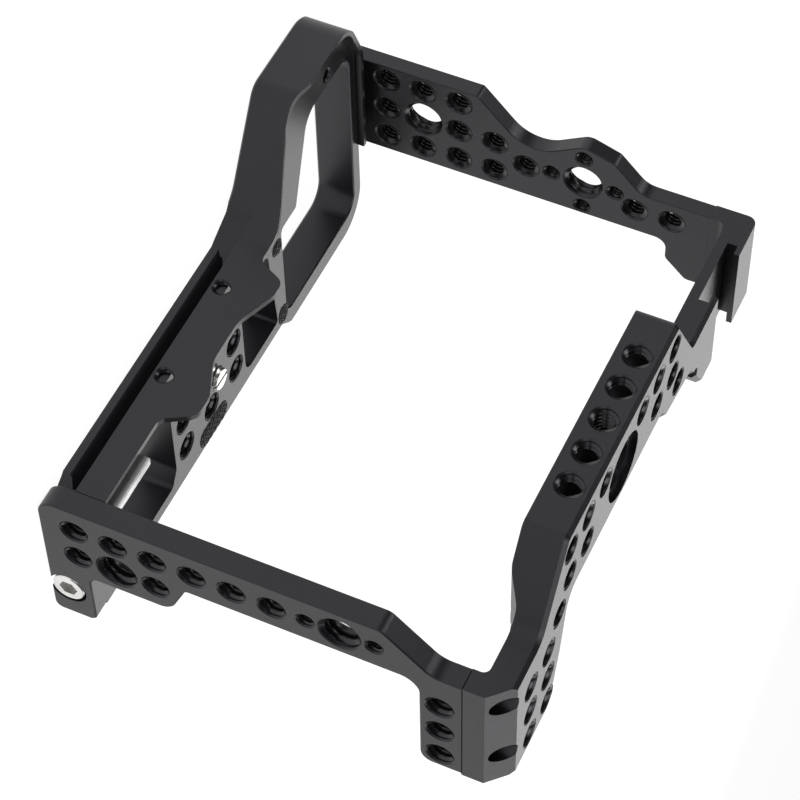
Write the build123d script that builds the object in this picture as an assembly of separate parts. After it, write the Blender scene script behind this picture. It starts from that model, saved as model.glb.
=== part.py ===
from build123d import *
import math
import os

# Camera cage: base plate with a grip loop, two side plates and a top plate with a cold shoe.
# Millimetres, +Z up. Origin on the axis of the camera screw, on the deck the camera stands on.
# +X runs to the left-hand side plate, +Y to the rear. Below, heights are counted from the
# underside of the base and depths from the front row of deck holes; each piece is moved to
# the origin when it is written.

# main spaces
INNER_WIDTH = 137.4       # between the two side plates
LEFT_INNER_X = 52.9       # camera screw axis to the left plate's inner face
SEAM_Z = 100.1            # underside of the top plate, top of both side plates

# plate thicknesses
LEFT_T = 5.6
RIGHT_T = 4.4
BASE_T = 10.1
TOP_T = 10.4
TOP_THIN_T = 7.0          # top plate between the corner and the five-hole bar

# depth (Y) of the main faces
FRONT_Y = -21.7           # front of the base lip and of the left plate
TOP_FRONT_Y = -11.0       # front of the shoe strip and of the right plate's head
POST_FRONT_Y = -11.4      # front of the left post and of the corner above it
BAR_FRONT_Y = -31.7       # front of the five-hole bar
POST_REAR_Y = 23.4        # rear of the corner above the post
POST_STEP_Y = 0.4         # left post ends this much in front of the corner
DECK_REAR_Y = 19.6
FOOT_REAR_Y = 18.8

# threaded holes, drawn at the thread's major radius
PITCH = 9.5
QUARTER_R = 3.2
THREE_EIGHTHS_R = 4.8
PIN_HOLE_R = 2.0
MOUTH = 0.4
BAR_HOLE_DEPTH = 8.0
BAR_HOLE_H = 5.2          # above the underside of the top plate

# edges
EDGE = 1.0                # top plate
PLATE_EDGE = 0.3          # outer edges of the side plates
SMALL_EDGE = 0.2          # inner edges of the side plates
BASE_EDGE = 0.5           # underside of the base
LOOP_EDGE = 0.3           # top of the base

# left plate
LEFT_COLUMN_Y = -14.5
LEFT_COLUMN_Z = 8.6
LEFT_COLUMN_REAR_Y = -7.6
LEFT_FOOT_SHELF_Y = 1.9
LEFT_SHELF_Z = 30.7
LEFT_SHELF_RISE = 4.3
LEFT_INNER_R = 4.5        # corners of the plate's inside
LEFT_FOOT_H = 10.6
LEFT_SLOPE_TOP = 6.8      # top of the slope, below the seam
POST_UNDER_Z = 90.15
POST_HOLE_Z = 94.9
POST_HOLE_Y = -0.6
CORNER_CUT = 5.3

# right plate
RIGHT_FRONT_Y = -26.65
RIGHT_REAR_Y = 1.95
RIGHT_COLUMN_Y = -12.75
RIGHT_COLUMN_Z = 16.3
RIGHT_SHOULDER_Z = 40.2
RIGHT_VALLEY_Y = -12.5
RIGHT_BUMP_Y = -21.0
RIGHT_HEAD_H = 10.4       # head below the seam

# base
LIP_T = 1.4
LIP_H = 4.0               # lip above the deck between the ears and the ends
EAR_H = 11.3              # ears above the deck
LIP_VALLEY_H = 7.35       # ears' valley above the deck
LIP_HOLE_Z = 9.5
DOVETAIL_W = 37.5
DOVETAIL_FLANGE_T = 1.9
DOVETAIL_UNDERCUT = 3.0
DOVETAIL_TOP_Z = 6.8
GROOVE_END_GAP = 3.4      # full-depth block left at the left plate
WINDOW_REAR_GAP = 3.5     # deck left behind the windows
WINDOW_FRONT_Y = -11.0
LEFT_WINDOW_END_GAP = 6.4
DECK_HOLE_X = 12.5
DECK_HOLE_STEP_Y = 9.5

# grip loop
LOOP_GAP = 3.7            # between the loop and the right plate
OPENING_RIGHT_X = -39.0
LOOP_FRONT_Y = -48.1
LOOP_REAR_Y = 23.5
LOOP_SIDE_T = 3.8
LOOP_REAR_T = 5.5
LOOP_FRONT_T = 12.6
RIM_H = 2.0
RIM_T = 1.3

# cold shoe
SHOE_OFFSET = 19.3        # channel axis to the right plate's outer face
SHOE_CHANNEL_W = 18.8
SHOE_OPENING_W = 13.4
SHOE_FLOOR_T = 2.6
SHOE_CHANNEL_H = 2.5
SHOE_LIP_T = 1.4
SHOE_REAR_Y = 13.6
SHOE_END_T = 4.4

# top plate, counted from the outer face of the nearer side plate
FIELD_X = 12.8            # first column of the corner's holes
BAR_LEFT_END = 30.7
BAR_RIGHT_END = 53.7
BAR_LEFT_HOLE = 32.7
BAR_RIGHT_HOLE = 55.6
BAR_HOLE_Y = -25.4
BAR_ROW_SHIFT = 0.5       # middle of the front row to the right of the bar's middle
REAR_LEFT_BEND = 24.5
REAR_RIGHT_BEND = 58.4
FRONT_LEFT_BEND = 17.5
FRONT_RIGHT_BEND = 41.7
NECK_X = 25.0
STRIP_END = 42.9          # shoe strip, to where it drops to the bar
SHOE_SIDE = 33.1
REAR_HOLLOW_Y = 8.5

# centre window of the top plate
EYE_SHIFT = 0.1           # to the right of the bar's middle
EYE_Y = -18.0
EYE_R = 6.2
EYE_RECESS_R = 8.4
EYE_RECESS_DEPTH = 1.5

# camera screw
SCREW_Y = -2.5            # in front of the front row of deck holes
SCREW_R = 3.15
SCREW_NECK_R = 2.4
RUNNING = 0.05
SCREW_HEAD_R = 6.0
SCREW_HEAD_H = 2.6
SCREW_STAND_OUT = 3.5     # tip above the deck at rest
SCREW_RELIEF = 0.3        # start of the thread above the deck
SCREW_TRAVEL = 2.54       # two turns of a 1.27 mm pitch
WASHER_R = 5.4
WASHER_T = 0.5
HEAD_GAP = 0.35

# fasteners
FOOT_SCREW_Y = 9.5
FOOT_SCREW_Z = 4.3
FOOT_HEAD_R = 4.0
FOOT_HEAD_H = 3.5
FOOT_SHANK_R = 2.5
CORNER_SCREW_X_GAP = 3.4  # pocket axis to the outer face
CORNER_POCKET_R = 2.7
CORNER_POCKET_FLOOR = 2.6
CORNER_HEAD_R = 2.4
CORNER_HEAD_H = 2.5
CORNER_REACH = 7.0        # screw length inside the left plate
CORNER_SOCKET = 2.0
CORNER_SOCKET_DEPTH = 1.4
SMALL_SHANK_R = 1.25
LAP_T = 2.3
LAP_HEAD_R = 2.1
LAP_HEAD_H = 1.0
LAP_SOCKET = 1.6
LAP_SOCKET_DEPTH = 0.7
LAP_SCREW_DROP = 3.1      # screw axis below the top
RIGHT_FOOT_HEAD_R = 2.7
RIGHT_FOOT_HEAD_H = 2.0
RIGHT_FOOT_SHANK_R = 1.5
RIGHT_FOOT_Z = 4.0
RIGHT_FOOT_SOCKET = 2.5
RIGHT_FOOT_SOCKET_DEPTH = 1.2
FOOT_SOCKET = 4.0
FOOT_SOCKET_DEPTH = 2.4
LEFT_DOWEL_Z = 2.7
LEFT_DOWEL_IN_BASE = 4.3
LEFT_DOWEL_IN_PLATE = 2.8
RIGHT_DOWEL_IN_BASE = 1.3
RIGHT_DOWEL_IN_PLATE = 2.2
CORNER_DOWEL_R = 1.0
CORNER_DOWEL_UP = 2.4
CORNER_DOWEL_DOWN = 1.6
SCREW_END_GAP = 0.3       # hole beyond the end of a screw
DOWEL_END_GAP = 0.2       # hole beyond the end of a dowel
HEAD_SIDE_GAP = 0.3
PAD_TOP_Z = 7.0
FIT = 0.05

# stowed key
KEY_X = 36.3
KEY_T = 2.4
KEY_H = 6.8
KEY_SLOT_DEPTH = 1.2
KEY_GAP = 0.1
KEY_END_GAP = 0.5
MAGNET_R = 1.0
MAGNET_T = 0.9

# rubber pads
RUBBER_T = 1.4
RUBBER_SINK = 1.0

# derived faces
LEFT_OUTER_X = LEFT_INNER_X + LEFT_T
RIGHT_INNER_X = LEFT_INNER_X - INNER_WIDTH
RIGHT_OUTER_X = RIGHT_INNER_X - RIGHT_T
LOOP_LEFT_X = RIGHT_INNER_X + LOOP_GAP
SHOE_X = RIGHT_OUTER_X + SHOE_OFFSET
BAR_LEFT_X = LEFT_OUTER_X - BAR_LEFT_END
BAR_RIGHT_X = RIGHT_OUTER_X + BAR_RIGHT_END
BAR_MIDDLE_X = (BAR_LEFT_X + BAR_RIGHT_X) / 2
EYE_X = BAR_MIDDLE_X - EYE_SHIFT
TOP_Z = SEAM_Z + TOP_T
LEFT_SCREW_X = LEFT_OUTER_X - CORNER_SCREW_X_GAP
DOVETAIL_FRONT_Y = DECK_REAR_Y - DOVETAIL_W
NECK_FRONT_Y = DOVETAIL_FRONT_Y + DOVETAIL_UNDERCUT
NECK_REAR_Y = DECK_REAR_Y - DOVETAIL_UNDERCUT
LIP_REAR_Y = FRONT_Y + LIP_T
LOOP_INNER_X = LOOP_LEFT_X + LOOP_SIDE_T
KEY_Y = LIP_REAR_Y + 2.3
KEY_BOTTOM_Z = BASE_T - KEY_SLOT_DEPTH
KEY_END_X = LEFT_INNER_X - KEY_END_GAP
SHOE_FLOOR_Z = TOP_Z - SHOE_LIP_T - SHOE_CHANNEL_H
SCREW_TIP_Z = BASE_T + SCREW_STAND_OUT
COUNTERBORE_DEPTH = SCREW_HEAD_H + WASHER_T + SCREW_TRAVEL


def outline(corners):
    """Closed face through the corners (u, v) or (u, v, radius), each rounded by its radius."""
    edges = []
    starts = []
    ends = []
    arcs = []
    count = len(corners)
    for i in range(count):
        here = Vector(corners[i][0], corners[i][1])
        before = Vector(*corners[i - 1][:2])
        after = Vector(*corners[(i + 1) % count][:2])
        radius = corners[i][2] if len(corners[i]) > 2 else 0
        to_before = (before - here).normalized()
        to_after = (after - here).normalized()
        half = math.acos(max(-1.0, min(1.0, to_before.dot(to_after)))) / 2
        if radius == 0 or half > math.radians(89):
            starts.append(here)
            ends.append(here)
            arcs.append(None)
            continue
        reach = radius / math.tan(half)
        limit = 0.48 * min((before - here).length, (after - here).length)
        if reach > limit:
            radius = radius * limit / reach
            reach = limit
        bisector = (to_before + to_after).normalized()
        centre = here + bisector * (radius / math.sin(half))
        starts.append(here + to_before * reach)
        ends.append(here + to_after * reach)
        arcs.append(centre - bisector * radius)
    for i in range(count):
        if arcs[i] is not None:
            edges.append(ThreePointArc(starts[i], arcs[i], ends[i]).edge())
        following = starts[(i + 1) % count]
        if (following - ends[i]).length > 1e-6:
            edges.append(Line(ends[i], following).edge())
    return make_face(edges)


def plan(corners, z0, z1):
    """Outline in X and Y, standing from z0 to z1."""
    return extrude(Plane.XY.offset(z0) * outline(corners), z1 - z0)


def side(corners, x0, x1):
    """Outline in Y and Z, reaching from x0 to x1."""
    return extrude(Plane.YZ.offset(x0) * outline(corners), x1 - x0)


def front(corners, y0, y1):
    """Outline in X and Z, reaching from y0 back to y1."""
    return extrude(Plane.XZ.offset(-y1) * outline(corners), y1 - y0)


def block(x0, x1, y0, y1, z0, z1):
    corner = Align.MIN
    return Pos(x0, y0, z0) * Box(x1 - x0, y1 - y0, z1 - z0, align=(corner, corner, corner))


def rod(axis, radius, u, v, low, high):
    """Cylinder along an axis name, at the two other coordinates, from low to high."""
    length = high - low
    body = Cylinder(radius, length, align=(Align.CENTER, Align.CENTER, Align.MIN))
    if axis == "X":
        return Pos(low, u, v) * Rot(0, 90, 0) * body
    if axis == "Y":
        return Pos(u, low, v) * Rot(-90, 0, 0) * body
    return Pos(u, v, low) * body


def bored(axis, radius, u, v, low, high, mouths=(True, True)):
    """Cutter of a hole with a small countersink at each open mouth."""
    cutter = rod(axis, radius, u, v, low, high)
    for at_high, open_mouth in zip((False, True), mouths):
        if open_mouth:
            cone = Cone(radius + MOUTH, radius, MOUTH,
                        align=(Align.CENTER, Align.CENTER, Align.MIN))
            turned = Rot(180, 0, 0) * cone if at_high else cone
            end = high if at_high else low
            if axis == "X":
                cutter += Pos(end, u, v) * Rot(0, 90, 0) * turned
            elif axis == "Y":
                cutter += Pos(u, end, v) * Rot(-90, 0, 0) * turned
            else:
                cutter += Pos(u, v, end) * turned
    return cutter


def cut_all(body, cutters):
    for cutter in cutters:
        body = body - cutter
    return body


def hexagon(across_flats, depth):
    """Hexagonal socket standing from Z = 0."""
    return extrude(RegularPolygon(across_flats / 2, 6, major_radius=False), depth)


# ---------------------------------------------------------------- base plate

def loop_opening():
    right = OPENING_RIGHT_X
    rear = LOOP_REAR_Y - LOOP_REAR_T
    front_y = LOOP_FRONT_Y + LOOP_FRONT_T
    jog_y = WINDOW_FRONT_Y - 1.1
    return [(right, rear, 3), (LOOP_INNER_X, rear, 5), (LOOP_INNER_X, front_y, 5),
            (right - 16.0, front_y, 6), (right - 7.9, jog_y, 1.0), (right, jog_y, 1.5)]


def base_outline():
    return [(LEFT_INNER_X, DECK_REAR_Y, 0), (-36.0, DECK_REAR_Y, 2),
            (-40.5, LOOP_REAR_Y, 3), (LOOP_LEFT_X, LOOP_REAR_Y, 10.5),
            (LOOP_LEFT_X, LOOP_FRONT_Y + 14.0, 9),
            (LOOP_LEFT_X + 6.3, LOOP_FRONT_Y, 8), (-48.0, LOOP_FRONT_Y, 5),
            (-34.0, FRONT_Y - 2.8, 12), (-27.0, FRONT_Y, 8), (LEFT_INNER_X, FRONT_Y, 0)]


def lip():
    low = BASE_T + LIP_H
    ear = BASE_T + EAR_H
    valley = BASE_T + LIP_VALLEY_H
    edge = [(-40.0, 1.0), (LEFT_INNER_X, 1.0), (LEFT_INNER_X, low), (28.4, low, 2.5),
            (24.2, ear, 4), (18.3, ear, 6), (9.0, valley, 10), (-3.5, valley, 12),
            (-13.5, ear, 6), (-17.8, ear, 3), (-21.3, low, 2.5), (-30.0, low, 6),
            (-44.0, BASE_T, 4), (-50.0, BASE_T)]
    sheet = front(edge, LOOP_FRONT_Y, FRONT_Y + LIP_T)
    whole = plan(base_outline(), 1.0, ear + 1)
    kept = plan([(LEFT_INNER_X + 1, LOOP_FRONT_Y), (LEFT_INNER_X + 1, LIP_REAR_Y),
                 (-28.0, LIP_REAR_Y), (-34.6, LIP_REAR_Y - 2.6),
                 (-50.0, LOOP_FRONT_Y + 1.6), (-50.0, LOOP_FRONT_Y)], 1.0, ear + 1)
    return sheet & whole & kept


def rim():
    """Raised edge along the front and the outer side of the grip loop."""
    outer = outline(base_outline())
    band = outer - offset(outer, -RIM_T, kind=Kind.INTERSECTION)
    ring = extrude(Plane.XY.offset(BASE_T - 1) * band, RIM_H + 1)
    profile = [(LOOP_LEFT_X - 1, BASE_T - 1), (-46.5, BASE_T - 1), (-46.5, BASE_T),
               (-54.5, BASE_T + RIM_H, 3), (LOOP_LEFT_X - 1, BASE_T + RIM_H)]
    return ring & front(profile, LOOP_FRONT_Y - 1, -2.0)


def windows():
    rear = DECK_REAR_Y - WINDOW_REAR_GAP
    right = [(-34.0, rear, 1), (-17.0, rear, 3), (-17.0, WINDOW_FRONT_Y, 2),
             (-31.5, WINDOW_FRONT_Y, 2)]
    end = LEFT_INNER_X - LEFT_WINDOW_END_GAP
    left = [(20.5, rear, 1.5), (18.0, rear - 4.5, 2), (18.0, WINDOW_FRONT_Y, 2),
            (end, WINDOW_FRONT_Y, 2), (end, rear, 2)]
    return [plan(right, -1, BASE_T + 1), plan(left, -1, BASE_T + 1)]


def grooves():
    """Undercut on both long sides of the dovetail foot."""
    end = LEFT_INNER_X - GROOVE_END_GAP
    top = DOVETAIL_TOP_Z
    flange = DOVETAIL_FLANGE_T
    knee = flange + DOVETAIL_UNDERCUT
    front_cut = [(FRONT_Y - 1, -1), (DOVETAIL_FRONT_Y, -1), (DOVETAIL_FRONT_Y, flange),
                 (NECK_FRONT_Y, knee), (NECK_FRONT_Y, top), (FRONT_Y - 1, top)]
    rear_cut = [(DECK_REAR_Y + 1, flange - 0.3), (DECK_REAR_Y, flange), (NECK_REAR_Y, knee),
                (NECK_REAR_Y, top), (DECK_REAR_Y + 1, top)]
    cuts = [side(front_cut, -17.5, end), side(rear_cut, -17.5, end)]
    run_out = plan([(-33.0, FRONT_Y - 2), (-17.5, FRONT_Y - 2), (-17.5, NECK_FRONT_Y),
                    (-19.5, NECK_FRONT_Y, 4), (-24.0, DOVETAIL_FRONT_Y - 0.4, 14),
                    (-31.5, FRONT_Y)], -1, top)
    beyond = LEFT_INNER_X + 1
    end_cut = plan([(end - 3, FRONT_Y - 1), (beyond, FRONT_Y - 1),
                    (beyond, DOVETAIL_FRONT_Y + 4.2), (end - 3, DOVETAIL_FRONT_Y, 3)], -1, top)
    return cuts + [run_out, end_cut]


def deck_holes():
    spots = [(-DECK_HOLE_X, 0), (DECK_HOLE_X, 0)]
    spots += [(x, DECK_HOLE_STEP_Y) for x in (-DECK_HOLE_X, 0, DECK_HOLE_X)]
    return [bored("Z", QUARTER_R, x, y, 0, BASE_T) for x, y in spots]


def camera_screw_seat():
    return [rod("Z", SCREW_R + RUNNING, 0, SCREW_Y, -1, BASE_T + 1),
            rod("Z", SCREW_HEAD_R + HEAD_GAP, 0, SCREW_Y, -1, COUNTERBORE_DEPTH)]


def lip_holes():
    return [bored("Y", PIN_HOLE_R, x, LIP_HOLE_Z, FRONT_Y, LIP_REAR_Y,
                  (True, False)) for x in (-10.8, 17.1)]


def pad_shapes():
    """Name, centre, half length and half width of each rubber pad of the deck."""
    rear = DECK_REAR_Y - 3.4
    return [("deck_pad_rear", 0.0, rear, 6.75, 2.8),
            ("deck_pad_corner", -36.8, rear, 2.3, 2.8),
            ("deck_pad_front", -36.2, TOP_FRONT_Y + 2.2, 2.3, 2.3)]


def pad_body(x, y, half_l, half_w, z0, z1, grow=0.0):
    half_l = half_l + grow
    half_w = half_w + grow
    radius = min(half_l, half_w) * 0.95
    return plan([(x - half_l, y - half_w, radius), (x + half_l, y - half_w, radius),
                 (x + half_l, y + half_w, radius), (x - half_l, y + half_w, radius)], z0, z1)


def right_foot_block():
    return block(RIGHT_INNER_X, LOOP_LEFT_X + 1, RIGHT_FRONT_Y + 2.5, RIGHT_REAR_Y - 1.3,
                 0, PAD_TOP_Z)


def right_foot_spots():
    return [RIGHT_COLUMN_Y - 6.9, RIGHT_COLUMN_Y + 7.6]


def right_dowel_spots():
    return [RIGHT_COLUMN_Y - 2.4, RIGHT_COLUMN_Y + 3.4]


def left_dowel_spots():
    return [LEFT_COLUMN_Y + 1.5, 1.5]


def key_magnet_spots():
    return [KEY_X + 4.0, KEY_END_X - 4.0]


def base_sheet():
    """Base without its lip and rim, its edges broken except at the left plate."""
    sheet = plan(base_outline(), 0, BASE_T) - plan(loop_opening(), -1, BASE_T + 1)
    for z, size in ((0, BASE_EDGE), (BASE_T, LOOP_EDGE)):
        edges = sheet.edges().filter_by_position(Axis.Z, z - 0.01, z + 0.01)
        sheet = chamfer([e for e in edges if e.center().X < LEFT_INNER_X - 0.01], size)
    return sheet


def base_plate():
    body = base_sheet() + lip() + rim() + right_foot_block()
    body = body - plan(loop_opening(), BASE_T, BASE_T + RIM_H + 1)
    body = cut_all(body, windows() + grooves() + deck_holes() + camera_screw_seat()
                   + lip_holes())
    for _, x, y, half_l, half_w in pad_shapes():
        body = body - pad_body(x, y, half_l, half_w, BASE_T - RUBBER_SINK, BASE_T + 1, FIT)
    body = body - rod("X", FOOT_SHANK_R + FIT, FOOT_SCREW_Y, FOOT_SCREW_Z,
                      LEFT_INNER_X - LEFT_WINDOW_END_GAP - 1, LEFT_INNER_X + 1)
    for y in left_dowel_spots():
        body = body - rod("X", SMALL_SHANK_R + FIT, y, LEFT_DOWEL_Z,
                          LEFT_INNER_X - LEFT_DOWEL_IN_BASE - DOWEL_END_GAP, LEFT_INNER_X + 1)
    for y in right_foot_spots():
        body = body - rod("X", RIGHT_FOOT_SHANK_R + FIT, y, RIGHT_FOOT_Z, RIGHT_INNER_X - 1,
                          LOOP_INNER_X - 0.9)
    for y in right_dowel_spots():
        body = body - rod("X", SMALL_SHANK_R + FIT, y, RIGHT_FOOT_Z, RIGHT_INNER_X - 1,
                          LOOP_LEFT_X + RIGHT_DOWEL_IN_BASE + DOWEL_END_GAP)
    body = body - block(KEY_X - KEY_GAP, KEY_END_X + KEY_GAP, KEY_Y - KEY_GAP,
                        KEY_Y + KEY_T + KEY_GAP, KEY_BOTTOM_Z, BASE_T + 1)
    for x in key_magnet_spots():
        body = body - rod("Z", MAGNET_R + FIT, x, KEY_Y + KEY_T / 2, KEY_BOTTOM_Z - MAGNET_T,
                          BASE_T)
    return body - bored("Z", 1.6, -65.5, LOOP_FRONT_Y + 9.1, BASE_T - 4, BASE_T,
                        (False, True))


# ---------------------------------------------------------------- left side plate

def left_side_plate():
    slope = (POST_FRONT_Y - FRONT_Y) * 1.13
    slope_top = SEAM_Z - LEFT_SLOPE_TOP
    rear = POST_REAR_Y - POST_STEP_Y
    corners = [(FRONT_Y, 0, 4.5), (FOOT_REAR_Y, 0, 2), (FOOT_REAR_Y, LEFT_FOOT_H, 1.8),
               (LEFT_FOOT_SHELF_Y, LEFT_FOOT_H, 2.5), (LEFT_FOOT_SHELF_Y, LEFT_SHELF_Z, 4),
               (LEFT_COLUMN_REAR_Y, LEFT_SHELF_Z + LEFT_SHELF_RISE, 1.5),
               (LEFT_COLUMN_REAR_Y, POST_UNDER_Z, LEFT_INNER_R),
               (rear, POST_UNDER_Z, 3), (rear, SEAM_Z), (POST_FRONT_Y, SEAM_Z),
               (POST_FRONT_Y, slope_top, 6), (FRONT_Y, slope_top - slope, 3)]
    body = side(corners, LEFT_INNER_X, LEFT_OUTER_X)
    outer = body.faces().sort_by(Axis.X)[-1].edges()
    body = chamfer([e for e in outer if e.center().Z < SEAM_Z - 0.01], PLATE_EDGE)
    inner = body.faces().sort_by(Axis.X)[0].edges()
    body = chamfer([e for e in inner if e.center().Z < SEAM_Z - 0.01], SMALL_EDGE)
    cutters = []
    for i in range(6):
        cutters.append((QUARTER_R, LEFT_COLUMN_Y, LEFT_COLUMN_Z + i * PITCH))
    cutters.append((QUARTER_R, LEFT_COLUMN_Y + PITCH, LEFT_COLUMN_Z))
    cutters.append((THREE_EIGHTHS_R, LEFT_COLUMN_Y + PITCH, LEFT_COLUMN_Z + PITCH))
    cutters.append((QUARTER_R, LEFT_COLUMN_Y + PITCH, LEFT_COLUMN_Z + 2 * PITCH))
    big_z = LEFT_COLUMN_Z + 63.4
    cutters.append((THREE_EIGHTHS_R, LEFT_COLUMN_Y, big_z))
    cutters.append((PIN_HOLE_R, LEFT_COLUMN_Y, big_z - 8))
    cutters.append((PIN_HOLE_R, LEFT_COLUMN_Y, big_z + 8))
    for i in range(3):
        cutters.append((QUARTER_R, POST_HOLE_Y + i * PITCH, POST_HOLE_Z))
    body = cut_all(body, [bored("X", r, y, z, LEFT_INNER_X, LEFT_OUTER_X)
                          for r, y, z in cutters])
    body = body - rod("X", FOOT_SHANK_R + FIT, FOOT_SCREW_Y, FOOT_SCREW_Z, LEFT_INNER_X - 1,
                      LEFT_OUTER_X + 1)
    body = body - rod("X", FOOT_HEAD_R + 0.6, FOOT_SCREW_Y, FOOT_SCREW_Z,
                      LEFT_OUTER_X - FOOT_HEAD_H, LEFT_OUTER_X + 1)
    for y in left_dowel_spots():
        body = body - rod("X", SMALL_SHANK_R + FIT, y, LEFT_DOWEL_Z, LEFT_INNER_X - 1,
                          LEFT_INNER_X + LEFT_DOWEL_IN_PLATE + DOWEL_END_GAP)
    for y in corner_screw_spots():
        body = body - rod("Z", SMALL_SHANK_R + FIT, LEFT_SCREW_X, y,
                          SEAM_Z - CORNER_REACH - SCREW_END_GAP, SEAM_Z + 1)
    for y in corner_dowel_spots():
        body = body - rod("Z", CORNER_DOWEL_R + FIT, LEFT_SCREW_X, y,
                          SEAM_Z - CORNER_DOWEL_DOWN - DOWEL_END_GAP, SEAM_Z + 1)
    return body


# ---------------------------------------------------------------- right side plate

def right_outline():
    head_z = SEAM_Z - RIGHT_HEAD_H
    return [(TOP_FRONT_Y, SEAM_Z), (TOP_FRONT_Y, SEAM_Z - 17.3, 5.5),
            (RIGHT_BUMP_Y + 2.6, SEAM_Z - 24.4, 2), (RIGHT_BUMP_Y, SEAM_Z - 32.5, 3.5),
            (RIGHT_VALLEY_Y, RIGHT_SHOULDER_Z + 13.4, 13.8),
            (RIGHT_FRONT_Y, RIGHT_SHOULDER_Z, 1.5), (RIGHT_FRONT_Y, 0, 3),
            (RIGHT_REAR_Y, 0, 1.8), (RIGHT_REAR_Y, head_z, 3),
            (SHOE_REAR_Y - 5.5, head_z, 2), (SHOE_REAR_Y, head_z + 5.5, 2),
            (SHOE_REAR_Y, SEAM_Z)]


def lap_space():
    """Outer skin of the shoe's end that belongs to the right plate."""
    return block(RIGHT_OUTER_X - 1, RIGHT_OUTER_X + LAP_T, SHOE_REAR_Y - 18.0,
                 SHOE_REAR_Y + 1, SEAM_Z, TOP_Z + 1)


def shoe_end_skin():
    """Section of the shoe's outer end with its rounded top corner."""
    return front([(RIGHT_OUTER_X, SEAM_Z), (RIGHT_OUTER_X + 12, SEAM_Z),
                  (RIGHT_OUTER_X + 12, TOP_Z), (RIGHT_OUTER_X, TOP_Z, 2.4)],
                 TOP_FRONT_Y, SHOE_REAR_Y)


def lap_screw_spots():
    return [TOP_FRONT_Y + 11.3, TOP_FRONT_Y + 11.3 + PITCH]


def lap_screw_z():
    return TOP_Z - LAP_SCREW_DROP


def right_side_plate():
    body = side(right_outline(), RIGHT_OUTER_X, RIGHT_INNER_X)
    inner = body.faces().sort_by(Axis.X)[-1].edges()
    body = chamfer([e for e in inner if e.center().Z < SEAM_Z - 0.01], SMALL_EDGE)
    outer = body.faces().sort_by(Axis.X)[0].edges()
    body = chamfer([e for e in outer if e.center().Z < SEAM_Z - 0.01], PLATE_EDGE)
    body = body + (shoe_end_skin() & lap_space())
    column = [(RIGHT_COLUMN_Y + j * PITCH, RIGHT_COLUMN_Z + i * 2 * PITCH)
              for i in range(2) for j in (-1, 0, 1)]
    column += [(RIGHT_COLUMN_Y - PITCH, RIGHT_COLUMN_Z + PITCH),
               (RIGHT_COLUMN_Y + PITCH, RIGHT_COLUMN_Z + PITCH),
               (RIGHT_COLUMN_Y, RIGHT_COLUMN_Z + 3 * PITCH),
               (RIGHT_COLUMN_Y + PITCH, RIGHT_COLUMN_Z + 3 * PITCH),
               (-8.1, RIGHT_COLUMN_Z + 36.7), (-5.3, SEAM_Z - 18.8), (-5.3, SEAM_Z - 9.3)]
    big_y = -8.8
    big_z = RIGHT_COLUMN_Z + 51.5
    large = [(RIGHT_COLUMN_Y, RIGHT_COLUMN_Z + PITCH), (big_y, big_z)]
    small = [(big_y - 8.2, big_z), (big_y + 8.2, big_z), (big_y, big_z - 8.2),
             (big_y, big_z + 8.2)]
    for radius, spots in ((QUARTER_R, column), (THREE_EIGHTHS_R, large), (PIN_HOLE_R, small)):
        body = cut_all(body, [bored("X", radius, y, z, RIGHT_OUTER_X, RIGHT_INNER_X)
                              for y, z in spots])
    for y in right_foot_spots():
        body = body - rod("X", RIGHT_FOOT_SHANK_R + FIT, y, RIGHT_FOOT_Z, RIGHT_OUTER_X - 1,
                          RIGHT_INNER_X + 1)
        body = body - rod("X", RIGHT_FOOT_HEAD_R + HEAD_SIDE_GAP, y, RIGHT_FOOT_Z, RIGHT_OUTER_X - 1,
                          RIGHT_OUTER_X + RIGHT_FOOT_HEAD_H)
    for y in right_dowel_spots():
        body = body - rod("X", SMALL_SHANK_R + FIT, y, RIGHT_FOOT_Z,
                          RIGHT_INNER_X - RIGHT_DOWEL_IN_PLATE - DOWEL_END_GAP,
                          RIGHT_INNER_X + 1)
    for y in lap_screw_spots():
        body = body - rod("X", SMALL_SHANK_R + FIT, y, lap_screw_z(), RIGHT_OUTER_X - 1,
                          RIGHT_OUTER_X + LAP_T + 1)
    return body


# ---------------------------------------------------------------- top plate

def top_outline():
    rear_bar = TOP_FRONT_Y + 3.2
    left_bend = LEFT_OUTER_X - REAR_LEFT_BEND
    right_bend = RIGHT_OUTER_X + REAR_RIGHT_BEND
    return [(LEFT_OUTER_X, POST_REAR_Y), (left_bend, POST_REAR_Y, 4),
            (left_bend - 5.2, REAR_HOLLOW_Y, 14), (left_bend - 9.0, rear_bar, 5),
            (right_bend + 3.2, rear_bar, 3), (right_bend, rear_bar + 4.6, 2.5),
            (right_bend - 16.0, rear_bar + 6.6, 3),
            (RIGHT_OUTER_X + SHOE_SIDE, SHOE_REAR_Y, 2.5),
            (RIGHT_OUTER_X, SHOE_REAR_Y), (RIGHT_OUTER_X, TOP_FRONT_Y),
            (RIGHT_OUTER_X + FRONT_RIGHT_BEND, TOP_FRONT_Y, 2), (BAR_RIGHT_X, BAR_FRONT_Y, 2),
            (BAR_LEFT_X, BAR_FRONT_Y, 2.5), (LEFT_OUTER_X - FRONT_LEFT_BEND, POST_FRONT_Y, 5),
            (LEFT_OUTER_X, POST_FRONT_Y)]


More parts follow.
